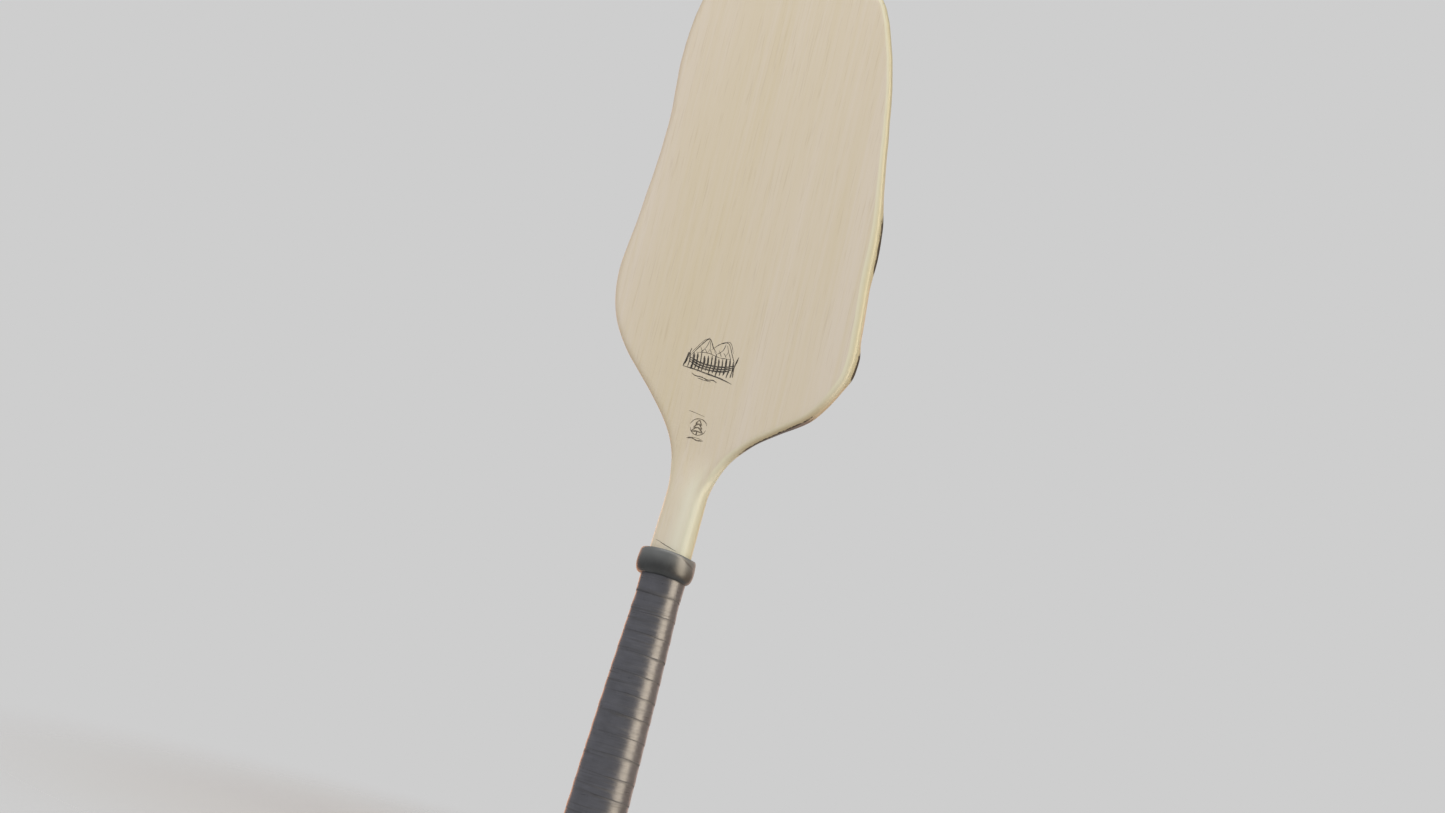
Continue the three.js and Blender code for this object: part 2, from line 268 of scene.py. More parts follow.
def wood_material(name, pale, dark, bevel, lit_edge_colour, edge_shade_colour):
    """Straight-grained varnished wood: broad tone bands, fine grain lines and short pores, with painted
    highlights and painted shade where its attributes mark them.
    """
    m = Nodes(name)
    m.coordinates = m.mapped(rotation=(0, GRAIN_SLANT, 0))
    bands = m.noise((42, 42, 1.6), 2.0, 0.5, 0.15)
    lines = m.noise((420, 420, 5.0), 3.0, 0.6, 0.3)
    pores = m.noise((1500, 1500, 42))
    clouds = m.noise((9, 9, 5))
    tone = m.weighted((bands, 0.45), (lines, 0.40), (clouds, 0.15))
    colour = m.ramp(tone, [(0.36, dark), (0.64, pale)])
    pore_shade = m.ramp(pores, [(0.30, (0.93, 0.91, 0.88)), (0.42, (1, 1, 1))])
    colour = m.mix(1.0, colour, pore_shade, "MULTIPLY")
    # edge: a painted highlight on the rounding of the lit right edge and on the neck's sides, pale inside and
    # yellower further round
    edge = m.attribute("edge")
    painted_edge_light = m.ramp(edge, [(0.25, bevel), (0.75, lit_edge_colour)])
    colour = m.mix(m.ramp(edge, [(0.03, 0.0), (0.13, 0.85)]), colour, painted_edge_light)
    # painted highlight down the neck's right front: a narrow greenish streak and a broad pale gleam
    colour = m.mix(m.times(m.attribute("narrow_highlight"), 0.9), colour, srgb(198, 201, 182))
    colour = m.mix(m.times(m.attribute("gleam"), 0.7), colour, srgb(230, 228, 209))
    # rim: amber painted shade along the edges that face away from the light
    colour = m.mix(m.times(m.attribute("rim"), 0.8), colour, edge_shade_colour)
    # dark patches of painted shade on the right edge's rear half, where it faces down and away from the
    # light; noise breaks them up
    shade_breakup = m.noise((700, 700, 130), 4.0, 0.7)
    rear_shade = m.math("ADD", m.attribute("rear_shade"), m.times(m.math("SUBTRACT", shade_breakup, 0.5), 1.1))
    colour = m.mix(m.ramp(rear_shade, [(0.42, 0.0), (0.60, 1.0)]), colour, srgb(52, 44, 33))
    relief = m.weighted((lines, 0.6), (pores, 0.4))
    rough = m.ramp(m.noise((60, 60, 12), 3.0, 0.6), [(0.3, 0.31), (0.7, 0.41)])
    m.set(Base_Color=colour, Roughness=rough, Specular_IOR_Level=0.34)
    m.set(Normal=m.bump(relief, 0.25, 0.00012))
    return m.material


# ---- measuring the CAD wood
def node_edges(names):
    """Both ends of every mesh edge of the nodes, as an array (edge, end, axis)."""
    ends = []
    for name in names:
        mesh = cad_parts[name].data
        places = np.array([v.co for v in mesh.vertices])
        ends.append(places[np.array([e.vertices for e in mesh.edges])])
    return np.concatenate(ends)


WOOD_EDGES = node_edges(WOOD_NODES)


def level_cut(edges, z):
    """The points where the level z cuts the edges."""
    low, high = edges[:, 0], edges[:, 1]
    crossing = (low[:, 2] - z) * (high[:, 2] - z) < 0
    low, high = low[crossing], high[crossing]
    share = ((z - low[:, 2]) / (high[:, 2] - low[:, 2]))[:, None]
    return low + (high - low) * share


def wood_extent(z):
    """(lowest x, highest x, highest y) of the CAD wood where the level z cuts it."""
    points = level_cut(WOOD_EDGES, z)
    return points[:, 0].min(), points[:, 0].max(), points[:, 1].max()


BOARD_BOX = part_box("front_board")
NECK_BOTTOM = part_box("grip_underlay")[1].z + 0.3 * MM
NECK_TOP = 172 * MM  # above this the blade's own outline takes over
BLADE_MIDDLE_Z = 0.3
WOOD_BOTTOM, TIP = (corner.z for corner in BOARD_BOX)
GLUE_FRONT = (BOARD_BOX[1].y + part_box("center_stringer")[0].y) / 2
SECTION_BLEND = (147 * MM, 187 * MM)  # where the oval section turns into the blade's flat one
EDGE_DEPTH = 3.5 * MM  # how deep the rounding of the blade's edges is, at the root
EDGE_REACH = 5.2 * MM  # how far the rounding runs in over the faces
EDGE_STEPS = 9  # steps across the rounding
OUTLINE_STEP = 2.2 * MM
GRID = 3.2 * MM  # between the points that fill the faces


def smooth(values, reach):
    """A moving average that keeps the ends."""
    padded = np.concatenate([np.full(reach, values[0]), values, np.full(reach, values[-1])])
    kernel = np.hanning(2 * reach + 3)[1:-1]
    return np.convolve(padded, kernel / kernel.sum(), "valid")


LEVELS = np.arange(NECK_BOTTOM + 0.2 * MM, TIP - 0.3 * MM, 1 * MM)
EXTENTS = np.array([wood_extent(z) for z in LEVELS])
HALF_DEPTHS = smooth(EXTENTS[:, 2], 9)
NECK_LEFTS = smooth(EXTENTS[:, 0], 4)
NECK_RIGHTS = smooth(EXTENTS[:, 1], 4)


def catmull_rom(points, per_span):
    """A smooth open curve through the points."""
    padded = np.vstack([2 * points[0] - points[1], points, 2 * points[-1] - points[-2]])
    a, b, c, d = padded[:-3], padded[1:-2], padded[2:-1], padded[3:]
    made = []
    for t in np.arange(per_span) / per_span:
        bend, twist = (2 * a - 5 * b + 4 * c - d) * t**2, (3 * b - a - 3 * c + d) * t**3
        made.append(0.5 * (2 * b + (c - a) * t + bend + twist))
    return np.vstack([np.stack(made, 1).reshape(-1, points.shape[1]), points[-1:]])


def path_lengths(points):
    """How far along the curve each of its points is."""
    return np.concatenate([[0], np.cumsum(np.linalg.norm(np.diff(points, axis=0), axis=1))])


def spaced(points, step):
    """Points at even steps along the curve."""
    lengths = path_lengths(points)
    places = np.linspace(0, lengths[-1], int(lengths[-1] / step) + 1)
    return np.stack([np.interp(places, lengths, points[:, i]) for i in range(points.shape[1])], 1)


def blade_outline():
    """The CAD front board's edge as (x, z), from the neck's right side round the tip to its left."""
    places = [v.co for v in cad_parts["front_board"].data.vertices]
    above = [p for p in places if abs(p.y - BOARD_BOX[1].y) < 1e-6 and p.z > NECK_TOP]
    on_plane = {(round(p.x, 6), round(p.z, 6)) for p in above}
    points = np.array(sorted(on_plane, key=lambda p: -atan2(p[0], p[1] - BLADE_MIDDLE_Z)))
    return spaced(catmull_rom(points, 12), OUTLINE_STEP)


def outward(points):
    """Unit normals of an open curve that runs anticlockwise."""
    along = np.gradient(points, axis=0)
    normals = np.stack([along[:, 1], -along[:, 0]], 1)
    return normals / np.linalg.norm(normals, axis=1, keepdims=True)


def wavering(place, rate, row):
    """Smooth noise along a line, from -1 to 1. Different rows waver independently."""
    return noise.noise(Vector((place * rate, row, 0)))


def hewn(points):
    """The outline with the slight waver that a spokeshave leaves."""
    lengths = path_lengths(points)
    wave = [wavering(s, 26, 3.1) * 0.75 + wavering(s, 70, 7.7) * 0.3 for s in lengths]
    fade = np.clip(np.minimum(lengths, lengths[-1] - lengths) / (20 * MM), 0, 1)
    return points + outward(points) * (np.array(wave) * fade * MM)[:, None]


# ---- the wood's outer shape
THICKNESS_FIT = np.polyfit(LEVELS[LEVELS > 0.2], EXTENTS[LEVELS > 0.2, 2], 1)


def blade_half(z):
    """Half the blade's thickness, which shrinks evenly towards the tip."""
    return np.polyval(THICKNESS_FIT, z)


def edge_depth(z):
    """The rounding of the blade's edges grows from the thin tip to the root."""
    return EDGE_DEPTH - np.clip((z - 0.2) / 0.3, 0, 1) * 1.1 * MM


def ease(value):
    """Clips the value to 0 to 1, with a soft start and end."""
    value = np.clip(value, 0, 1)
    return value * value * (3 - 2 * value)


def bump_between(z, low, high):
    """0 outside low and high, rising smoothly to 1 between them."""
    return ease(np.minimum(z - low, high - z) / (0.35 * (high - low)))


def flattening(z):
    """0 where the section is the neck's oval, 1 where it is the blade's."""
    return ease((z - SECTION_BLEND[0]) / (SECTION_BLEND[1] - SECTION_BLEND[0]))


def half_width(z):
    return (np.interp(z, LEVELS, NECK_RIGHTS) - np.interp(z, LEVELS, NECK_LEFTS)) / 2


def centre_x(z):
    return (np.interp(z, LEVELS, NECK_RIGHTS) + np.interp(z, LEVELS, NECK_LEFTS)) / 2


def face_height(x, z, depth):
    """How far the wood reaches from its middle plane, at a depth inside its outline."""
    flat = flattening(z)
    half, middle = blade_half(z), np.maximum(np.interp(z, LEVELS, HALF_DEPTHS), blade_half(z))
    crown = np.clip(1 - (x / (1.25 * half_width(z))) ** 2, 0, 1) ** 1.5
    top = middle + (half + (middle - half) * crown - middle) * flat
    reach = half_width(z) + (EDGE_REACH - half_width(z)) * flat
    wall = (half - edge_depth(z)) * ease(flat * 1.6)
    share = np.clip(depth / reach, 0, 1)
    return wall + (top - wall) * np.sqrt(1 - (1 - share) ** 2)


def face_at(x, z, depth):
    """The face's height at a single point."""
    return float(face_height(np.array([x]), np.array([z]), np.array([depth]))[0])


def distance_to(curve, points):
    """Each point's distance to the nearest stretch of an open curve."""
    start, along = curve[:-1], np.diff(curve, axis=0)
    squared = (along**2).sum(1)
    nearest = np.full(len(points), 1e9)
    for a, d, s in zip(start, along, squared):
        t = np.clip(((points - a) @ d) / s, 0, 1)
        nearest = np.minimum(nearest, np.linalg.norm(points - a - t[:, None] * d, axis=1))
    return nearest


def whole_outline():
    """The outline above the oval neck, from its right side round the tip to its left."""
    levels = np.arange(SECTION_BLEND[0], NECK_TOP - 0.5 * OUTLINE_STEP, OUTLINE_STEP)
    right = np.stack([np.interp(levels, LEVELS, NECK_RIGHTS), levels], 1)
    left = np.stack([np.interp(levels, LEVELS, NECK_LEFTS), levels], 1)
    joined = spaced(np.vstack([right, blade_outline(), left[::-1]]), OUTLINE_STEP)
    softened = np.stack([smooth(joined[:, 0], 7), smooth(joined[:, 1], 7)], 1)
    z = joined[:, 1]
    share = ease((212 * MM - z) / (20 * MM)) * ease((z - SECTION_BLEND[0]) / (9 * MM))
    made = hewn(joined + (softened - joined) * share[:, None])
    made[[0, -1], 1] = SECTION_BLEND[0]
    return made


OUTLINE = whole_outline()


def edge_rings():
    """Copies of the outline, closer and closer to the inner edge of the rounding."""
    turns = np.arange(EDGE_STEPS + 1) / EDGE_STEPS * pi / 2
    normals = outward(OUTLINE)
    normals[[0, -1]] = [(1, 0), (-1, 0)]
    z = OUTLINE[:, 1]
    flat = flattening(z)
    reach = (half_width(z) + (EDGE_REACH - half_width(z)) * flat) * (1 - 0.03 * (1 - flat))
    return [OUTLINE - normals * (reach * (1 - cos(turn)))[:, None] for turn in turns]


def inside(points, ring):
    """Which of the points lie inside a closed ring."""
    found = np.zeros(len(points), bool)
    for (x1, z1), (x2, z2) in zip(ring, np.roll(ring, -1, axis=0)):
        if abs(z2 - z1) > 1e-12:
            crosses = (z1 > points[:, 1]) != (z2 > points[:, 1])
            found ^= crosses & (points[:, 0] < (x2 - x1) * (points[:, 1] - z1) / (z2 - z1) + x1)
    return found


def inner_points(ring):
    """A staggered grid of points inside the last ring."""
    low, high = ring.min(0), ring.max(0)
    rows = np.arange(low[1] + 0.7 * GRID, high[1], GRID * 0.87)
    made = []
    for i, z in enumerate(rows):
        xs = np.arange(low[0] + (i % 2) * GRID / 2, high[0], GRID)
        made.append(np.stack([xs, np.full(len(xs), z)], 1))
    points = np.vstack(made)
    points = points[inside(points, ring)]
    return points[distance_to(ring, points) > 0.55 * GRID]


def blade_part(bm):
    """The blade and its root: two mirrored faces and the wall between. Returns its lowest ring."""
    rings = edge_rings()
    count = len(OUTLINE)
    last = (len(rings) - 1) * count
    fill = [Vector(p) for p in np.vstack([rings[-1], inner_points(rings[-1])])]
    _, _, triangles, origins, _, _ = geometry.delaunay_2d_cdt(fill, [], [list(range(count))], 1, 1e-7)
    flat = np.vstack([*rings, [tuple(p) for p in fill[count:]]])
    depth = distance_to(OUTLINE, flat)
    depth[:count] = 0
    height = face_height(flat[:, 0], flat[:, 1], depth)
    starts = [k * count + i for k in range(len(rings) - 1) for i in range(count - 1)]
    strips = [(a, a + 1, a + 1 + count, a + count) for a in starts]
    fills = [tuple(last + origins[t][0] for t in triangle) for triangle in triangles]
    sides = []
    for sign in (-1, 1):
        verts = [bm.verts.new((x, sign * y, z)) for (x, z), y in zip(flat, height)]
        for face in strips + fills:
            made = bm.faces.new([verts[i] for i in face])
            made.normal_update()
            if made.normal.y * sign < 0:
                made.normal_flip()
        sides.append(verts)
    front, back = sides
    for i in range(count - 1):
        bm.faces.new([front[i], back[i], back[i + 1], front[i + 1]])
    right_to_middle = [k * count for k in range(len(rings))]
    middle_to_left = [k * count + count - 1 for k in reversed(range(len(rings)))]
    around = right_to_middle + middle_to_left
    return [front[i] for i in around] + [back[i] for i in reversed(around)]


def shaft_part(bm, top_ring):
    """The oval neck and the handle's core below it, down from the blade's lowest ring."""
    top = SECTION_BLEND[0]
    middle_x, half = centre_x(top), half_width(top)
    deep = face_at(middle_x, top, half)
    shape = [((v.co.x - middle_x) / half, v.co.y / deep) for v in top_ring]
    levels = [*np.arange(top - 4 * MM, NECK_BOTTOM + 1 * MM, -4 * MM), NECK_BOTTOM + 0.5 * MM]
    neck = (NECK_LEFTS, NECK_RIGHTS, HALF_DEPTHS)
    sizes = [(z, *(np.interp(z, LEVELS, values) for values in neck)) for z in levels]
    low, high, depth = wood_extent(NECK_BOTTOM + 1 * MM)
    chamfer = 0.5 * MM
    sizes.append((NECK_BOTTOM, low + chamfer, high - chamfer, depth - chamfer))
    sizes.append((NECK_BOTTOM, *wood_extent(NECK_BOTTOM - 1 * MM)))
    sizes += [(z, *wood_extent(z)) for z in np.arange(NECK_BOTTOM - 6 * MM, WOOD_BOTTOM + 3 * MM, -9 * MM)]
    sizes.append((WOOD_BOTTOM, *wood_extent(WOOD_BOTTOM + 0.1 * MM)))
    rings = [top_ring]
    for z, low, high, depth in sizes:
        centre, wide = (low + high) / 2, (high - low) / 2
        rings.append([bm.verts.new((centre + x * wide, y * depth, z)) for x, y in shape])
    join_rings(bm, rings)
    bm.faces.new(rings[-1])


def wood_envelope():
    """The wood as one closed, painted mesh, from which the pieces are cut."""
    bm = bmesh.new()
    shaft_part(bm, blade_part(bm))
    bmesh.ops.remove_doubles(bm, verts=bm.verts, dist=1e-6)
    bmesh.ops.recalc_face_normals(bm, faces=bm.faces)
    raise_shaded_patches(bm)
    paint_edges(bm)
    return bm


SHADED_PATCHES = [  # patches of painted shade on the right edge's rear half, which also stand proud: (lowest z, highest z, shade, how proud)
    (0.238, 0.270, 1.0, 1.3 * MM), (0.302, 0.364, 1.0, 1.3 * MM), (0.172, 0.228, 0.75, 0.2 * MM),
]
SHOULDER = (146 * MM, 218 * MM)  # where the right edge's rear half is worn back
SHOULDER_WEAR = 1.7 * MM


def raise_shaded_patches(bm):
    """Raises the right edge's rear half at its patches of painted shade and wears it back at the shoulder."""
    normals = outward(OUTLINE)
    for vert in bm.verts:
        x, y, z = vert.co
        if x < 0 or z < 0.15 or z > 0.37:
            continue
        gaps = np.hypot(OUTLINE[:, 0] - x, OUTLINE[:, 1] - z)
        nearest = int(gaps.argmin())
        lift = sum(rise * float(bump_between(z, low, high)) for low, high, _, rise in SHADED_PATCHES)
        lift -= SHOULDER_WEAR * float(bump_between(z, *SHOULDER))
        lift *= float(ease((4 * MM - gaps[nearest]) / (3 * MM)) * ease((y + 2 * MM) / (2.5 * MM)))
        vert.co.x += normals[nearest][0] * lift
        vert.co.z += normals[nearest][1] * lift


def paint_edges(bm):
    """Marks, for the material, the painted highlight on the rounded edge and on the neck, the amber painted
    shade along the edges, and the dark patches of painted shade on the right edge's rear.
    """
    places = np.array([v.co for v in bm.verts])
    x, y, z = places.T
    depth = np.full(len(places), 1.0)
    on_blade = z > SECTION_BLEND[0]
    depth[on_blade] = distance_to(OUTLINE, places[on_blade][:, [0, 2]])
    across = (x - centre_x(z)) / half_width(z)  # -1 at the left side, 1 at the right
    right = np.where(z > 0.3, ease((x + 24 * MM) / (48 * MM)), x > 0)
    neck = ease((180 * MM - z) / (30 * MM))
    shoulder = bump_between(z, 152 * MM, 264 * MM) * right
    reach = EDGE_REACH * np.interp(z, [0.31, 0.41], [1, 0.55])
    # painted highlight on the rounding of the edges that face the light on the right
    edge = np.clip((reach - depth) / reach, 0, 1) * flattening(z) * right * (1 - 0.8 * shoulder)
    # the neck's right side, and a little of its left limb, are painted lit too
    neck_sides = np.interp(across, [-1, -0.85, 0.5, 0.8, 0.9, 1], [0.5, 0, 0, 0.1, 0.45, 0.6])
    edge = np.maximum(edge, neck_sides * neck)
    # painted highlight down the neck's front: a broad pale gleam and a narrow greenish streak to its right
    spread = np.where(across < 0.45, 0.42, 0.15)
    gleam = (0.15 + 0.85 * np.exp(-((across - 0.45) / spread) ** 2)) * neck * (y < 0)
    narrow_highlight = np.exp(-((across - 0.72) / 0.13) ** 2) * ease((164 * MM - z) / (24 * MM)) * (y < 0)
    # rim: amber painted shade on the edge walls at the left and on the right edge's rear, and a broader band
    # on the left side and the shoulder
    on_wall = ease((0.8 * MM - depth) / (0.5 * MM))
    rim = on_wall * (0.8 * (1 - right) + right * ease((y - (1.4 - 2.2 * shoulder) * MM) / (1.6 * MM)))
    shaded_band = 0.3 * (1 - right) + 0.42 * shoulder + 0.38 * bump_between(z, 172 * MM, 236 * MM) * right
    rim = np.maximum(rim, shaded_band * ease((4.0 * MM - depth) / (3.6 * MM)))
    forward = np.where(z < 0.232, 5, 2.6) * MM  # how far the painted shade reaches in front of the middle
    rear = ease((y + forward) / (1.6 * MM)) * (x > 0) * ease((2.4 * MM - depth) / (1.2 * MM))
    # painted shade: dark patches where the right edge's rear faces down and away
    rear_shade = sum(shade * bump_between(z, low, high) for low, high, shade, _ in SHADED_PATCHES) * rear
    painted = {"edge": edge, "gleam": gleam, "narrow_highlight": narrow_highlight, "rim": rim, "rear_shade": rear_shade}
    for name, values in painted.items():
        layer = bm.verts.layers.float.new(name)
        for vert, value in zip(bm.verts, values):
            vert[layer] = value


def cut(bm, axis, place, keep):
    """Keeps one side of the plane axis = place, and closes the cut with a flat, sharp-edged face."""
    point, normal = Vector((0, 0, 0)), Vector((0, 0, 0))
    point[axis], normal[axis] = place, 1.0
    everything = [*bm.verts, *bm.edges, *bm.faces]
    sides = {"clear_outer": keep < 0, "clear_inner": keep > 0}
    done = bmesh.ops.bisect_plane(bm, geom=everything, dist=1e-7, plane_co=point, plane_no=normal, **sides)
    rim = [e for e in done["geom_cut"] if isinstance(e, bmesh.types.BMEdge) and e.is_boundary]
    if not rim:
        return
    for edge in rim:
        edge.smooth = False
    filled = bmesh.ops.triangle_fill(bm, use_beauty=True, edges=rim, normal=normal * -keep)
    for face in filled["geom"]:
        if isinstance(face, bmesh.types.BMFace):
            face.smooth = False


def piece_cuts():
    """The glue planes, as (axis, place, side kept), that cut each wooden piece out of the envelope."""
    ply_front = (BOARD_BOX[0].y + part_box("handle_block_front")[1].y) / 2
    outwards = ["center_stringer", *(f"blade_strip_right_{place}" for place in STRIP_PLACES)]
    joints = [(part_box(a)[1].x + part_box(b)[0].x) / 2 for a, b in zip(outwards, outwards[1:])]
    core = [(1, GLUE_FRONT, 1), (1, -GLUE_FRONT, -1)]
    cuts = {
        "front_board": [(1, GLUE_FRONT, -1), (1, ply_front, 1)],
        "back_board": [(1, -GLUE_FRONT, 1), (1, -ply_front, -1)],
        "handle_block_front": [(1, ply_front, -1)],
        "handle_block_back": [(1, -ply_front, 1)],
        "center_stringer": [(0, -joints[0], 1), (0, joints[0], -1), *core],
    }
    for side, sign in (("right", 1), ("left", -1)):
        for i, place in enumerate(STRIP_PLACES):
            further = [(0, sign * x, -sign) for x in joints[i + 1:i + 2]]
            cuts[f"blade_strip_{side}_{place}"] = [(0, sign * joints[i], sign), *further, *core]
    return cuts


def add_wood():
    """Cuts the envelope into the CAD's pieces: pale boards and blocks round a warmer core."""
    # the last three colours of each wood: painted highlight on the edge's rounding, its yellower outer part,
    # and amber painted shade along the edges
    pale_wood = wood_material("pale_ash", srgb(215, 203, 186), srgb(210, 196, 167), srgb(223, 217, 190),
                              srgb(207, 197, 160), srgb(162, 134, 88))
    core_wood = wood_material("core_cedar", srgb(196, 172, 132), srgb(176, 148, 108), srgb(217, 207, 173),
                              srgb(205, 193, 156), srgb(160, 133, 90))
    envelope = wood_envelope()
    for node, cuts in piece_cuts().items():
        bm = envelope.copy()
        smooth_faces(bm)
        for plane in cuts:
            cut(bm, *plane)
        if node in OUTER_LAYERS:
            add_piece(node + "_shaped", bm, pale_wood, node)
        else:
            add_piece(node + "_shaped", bm, core_wood, node)
    envelope.free()


add_wood()


# ---- the grip
COLLAR_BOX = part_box("rubber_collar")
OVAL = 0.88  # the handle's depth over its width
TAPER_TOP = 115 * MM  # above this the handle stops growing narrower
TAPE_PITCH = 12.55 * MM
TAPE_SEAM = 11.4 * MM  # a turn's lower edge crosses the front here
TAPE_LEVELLING = 0.75  # how level the seams lie across the front
TAPE_STEPS = 120  # steps in a turn
TAPE_SECTION = [  # (up from the turn's lower edge, out from the underlay, painted seam shade) in mm
    (0.03, 1.53, 1), (0, 1.59, 1), (0.06, 1.66, 0.8), (0.22, 1.71, 0.35), (0.5, 1.735, 0),
    (1.4, 1.745, 0), (2.6, 1.74, 0), (3.4, 1.715, 0), (3.9, 1.675, 0.25), (4.3, 1.625, 0.35),
    (4.9, 1.585, 0.15), (6.2, 1.57, 0), (7.6, 1.57, 0), (9, 1.575, 0), (10.4, 1.58, 0),
    (11.3, 1.57, 0.1), (11.9, 1.54, 0.7), (12.3, 1.5, 1), (12.7, 1.48, 1), (14.4, 1.48, 1),
    (16.1, 1.48, 0), (16.5, 1.3, 0), (16.5, 0.04, 0), (11, 0.04, 0), (5.6, 0.04, 0),
    (4.9, 0.3, 0), (4.3, 0.95, 0), (3.9, 1.45, 0), (3.4, 1.51, 0), (1.7, 1.51, 1),
]
UNDERLAY_LOW, UNDERLAY_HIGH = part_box("grip_underlay")
UNDERLAY_LEVELS = np.linspace(UNDERLAY_LOW.z + 1 * MM, UNDERLAY_HIGH.z - 1 * MM, 40)
UNDERLAY_EDGES = node_edges(["grip_underlay"])
UNDERLAY_WIDTHS = [level_cut(UNDERLAY_EDGES, z)[:, 0].max() for z in UNDERLAY_LEVELS]
UNDERLAY_FIT = np.polyfit(UNDERLAY_LEVELS, UNDERLAY_WIDTHS, 3)


def handle_radius(z):
    """The underlay's half width, straight on up the taper beyond its ends."""
    return np.polyval(UNDERLAY_FIT, z)


def tape_relief(angle, z):
    """Small unevenness of the wound tape: soft lumps and fine creases that run round the handle."""
    x, y = cos(angle), sin(angle)
    lumps = noise.noise(Vector((x * 1.3, y * 1.3, z * 70))) * 0.06
    creases = noise.noise(Vector((x * 2.2, y * 2.2, z * 900))) * 0.05
    return (lumps + creases) * MM


def around_handle(angle, z, rise):
    """A point that stands off the underlay by rise."""
    wide = handle_radius(z)
    return Vector((cos(angle) * (wide + rise), sin(angle) * (wide * OVAL + rise), z))


def wound_tape():
    """One long strip of tape, each turn over the upper edge of the one below it."""
    low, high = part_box("grip_tape")
    bm = bmesh.new()
    seam_shade = bm.verts.layers.float.new("seam_shade")
    turns_down = (TAPE_SEAM - low.z) / TAPE_PITCH + 1.6
    turns_up = (high.z - TAPE_SEAM) / TAPE_PITCH + 0.4
    rings = []
    for i in range(int(-turns_down * TAPE_STEPS), int(turns_up * TAPE_STEPS)):
        wound = i / TAPE_STEPS * 2 * pi
        angle = -wound - pi / 2
        climb = (wound - TAPE_LEVELLING * sin(wound)) / (2 * pi) * TAPE_PITCH
        waver = (wavering(wound, 0.55, 5.2) * 0.8 + wavering(wound, 1.7, 9.1) * 0.4) * MM
        worn_ink_and_seam_shade = 0.4 + 0.6 * ease(0.7 + 0.9 * cos(angle))  # the painted seam shade is fainter towards the left side
        ring = []
        for along, rise, shade in TAPE_SECTION:
            z = TAPE_SEAM + climb + waver + along * MM
            relief = tape_relief(angle, z) if rise > 1 else 0
            vert = bm.verts.new(around_handle(angle, z, rise * MM + relief))
            vert[seam_shade] = shade * worn_ink_and_seam_shade
            ring.append(vert)
        rings.append(ring)
    join_rings(bm, rings)
    bm.faces.new(rings[0])
    bm.faces.new(rings[-1])
    bmesh.ops.recalc_face_normals(bm, faces=bm.faces)
    smooth_faces(bm)
    cut(bm, 2, low.z, 1)
    cut(bm, 2, high.z, -1)
    return bm


def revolved(profile, sides=96, relief=None):
    """A closed ring: a profile of (out along x, z) points in metres, turned round the oval handle."""
    bm = bmesh.new()
    rings = []
    for i in range(sides):
        angle = i / sides * 2 * pi
        ring = []
        for out, z in profile:
            lift = relief(angle, out, z) if relief else 0
            narrowing = (1 - OVAL) * handle_radius(min(z, TAPER_TOP))
            x, y = cos(angle) * (out + lift), sin(angle) * (out - narrowing + lift)
            ring.append(bm.verts.new((x, y, z)))
        rings.append(ring)
    join_rings(bm, rings + rings[:1])
    bmesh.ops.recalc_face_normals(bm, faces=bm.faces)
    smooth_faces(bm)
    return bm


def tape_material():
    """Dark satin tape with fine creases round the handle and a faint weave; the seams and the creases' lines
    are darkened with painted shade.
    """
    m = Nodes("wrap_tape")
    creases = m.noise((60, 60, 1100), 4.0, 0.6, 0.4)
    weave = m.noise((2600, 2600, 2600))
    clouds = m.noise((70, 70, 120), 3.0, 0.6)
    tone = m.weighted((creases, 0.5), (clouds, 0.5))
    colour = m.ramp(tone, [(0.35, srgb(69, 70, 76)), (0.65, srgb(85, 86, 94))])
    seam_breakup = m.ramp(m.noise((45, 45, 60), 3.0, 0.6), [(0.35, 0.35), (0.62, 1.0)])
    # painted shade in the seam under each turn's lower edge, broken up by noise
    seam_shade = m.times(m.attribute("seam_shade"), seam_breakup)
    colour = m.mix(m.times(seam_shade, 0.62), colour, srgb(34, 32, 33))
    wrinkles = m.noise((30, 30, 520), 2.0, 0.5, 0.5)
    # the wrinkles' lines are darkened: painted shade in the creases
    colour = m.mix(m.ramp(wrinkles, [(0.60, 0.0), (0.70, 0.4)]), colour, srgb(38, 36, 37))
    rough = m.math("ADD", m.ramp(tone, [(0.3, 0.26), (0.7, 0.34)]), m.times(seam_shade, 0.4))
    rough = m.math("ADD", rough, m.ramp(wrinkles, [(0.60, 0.0), (0.70, 0.16)]))
    height = m.weighted((creases, 0.85), (weave, 0.15))
    m.set(Base_Color=colour, Roughness=rough, Specular_IOR_Level=0.9)
    m.set(Normal=m.bump(height, 0.5, 0.0003))
    return m.material


def rubber_material():
    """Satin black rubber with painted light that grows paler towards the collar's upper edge."""
    m = Nodes("moulded_rubber")
    clouds = m.noise((90, 90, 90), 4.0, 0.65)
    speck = m.noise((1500, 1500, 1500))
    colour = m.ramp(clouds, [(0.35, srgb(38, 40, 41)), (0.68, srgb(56, 58, 59))])
    # painted light: paler towards the upper edge, darker in the flash line's groove
    colour = m.mix(m.times(m.attribute("top_light"), 0.62), colour, srgb(126, 129, 129))
    rough = m.ramp(clouds, [(0.3, 0.32), (0.7, 0.42)])
    m.set(Base_Color=colour, Roughness=rough, Specular_IOR_Level=0.75)
    m.set(Normal=m.bump(speck, 0.3, 0.00012))
    return m.material


def plastic_material():
    """Dark moulded plastic with a fine grain and rubbed patches."""
    m = Nodes("textured_plastic")
    grains = m.noise((1900, 1900, 1900))
    scuffs = m.noise((110, 110, 110), 5.0, 0.75)
    colour = m.ramp(scuffs, [(0.4, srgb(38, 38, 40)), (0.72, srgb(66, 65, 64))])
    m.set(Base_Color=colour, Roughness=m.ramp(scuffs, [(0.3, 0.42), (0.75, 0.62)]))
    m.set(Normal=m.bump(grains, 0.35, 0.0002))
    return m.material


